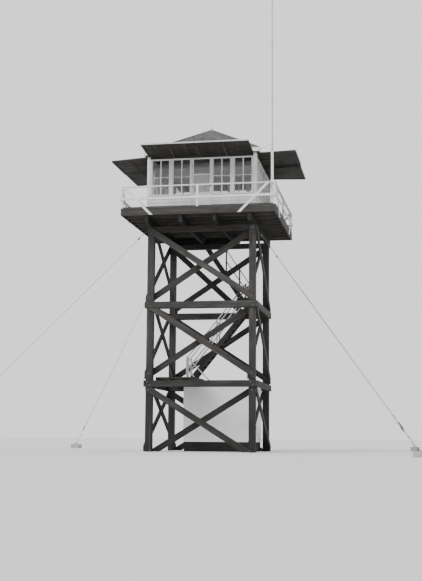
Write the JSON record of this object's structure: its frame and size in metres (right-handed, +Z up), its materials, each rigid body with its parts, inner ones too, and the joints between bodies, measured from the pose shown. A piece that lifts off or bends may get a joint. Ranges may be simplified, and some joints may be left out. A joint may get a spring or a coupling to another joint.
{
  "type": "fire lookout tower",
  "caption": "Timber fire lookout tower: a glazed cab with raised shutters and a railed catwalk on four X-braced legs, guyed at the corners.",
  "frame": {"origin": "on the ground, midway between the four legs", "axes": "+X to the right along the side with the cab's door, +Y away from that side, +Z up"},
  "size_m": [16.6718, 16.6718, 18],
  "materials": {
    "timber": "creosoted",
    "deck_boards": "weathered",
    "white_paint": "painted",
    "glass": "clear",
    "roofing": "weathered shingles",
    "steel": "galvanised",
    "concrete": "cast"
  },
  "bodies": {
    "root": {"legs": "timber", "girts_front": "timber", "girts_right": "timber", "girts_back": "timber", "girts_left": "timber", "braces_front": "timber", "braces_right": "timber", "braces_back": "timber", "braces_left": "timber", "cap_beams": "timber", "inner_girts": "timber", "floor_girders": "timber", "floor_joists": "timber", "stair_stringers": "timber", "stair_treads": "timber", "stair_landings": "timber", "enclosure_base": "timber", "shutter_props": "timber", "platform_deck": "deck_boards", "cab_floor": "deck_boards", "platform_rim": "white_paint", "wall_front": "white_paint", "wall_right": "white_paint", "wall_back": "white_paint", "wall_left": "white_paint", "window_sashes": "white_paint", "door": "white_paint", "cab_ceiling": "white_paint", "shutters_front": "white_paint", "shutters_right": "white_paint", "shutters_back": "white_paint", "shutters_left": "white_paint", "railing_front": "white_paint", "railing_right": "white_paint", "railing_back": "white_paint", "railing_left": "white_paint", "mast_post": "white_paint", "stair_handrails": "white_paint", "stair_enclosure": "white_paint", "enclosure_door": "white_paint", "window_glass": "glass", "roof": "roofing", "lightning_rod": "steel", "radio_mast": "steel", "guy_wires": "steel", "guy_anchors": "concrete"}
  },
  "joints": []
}
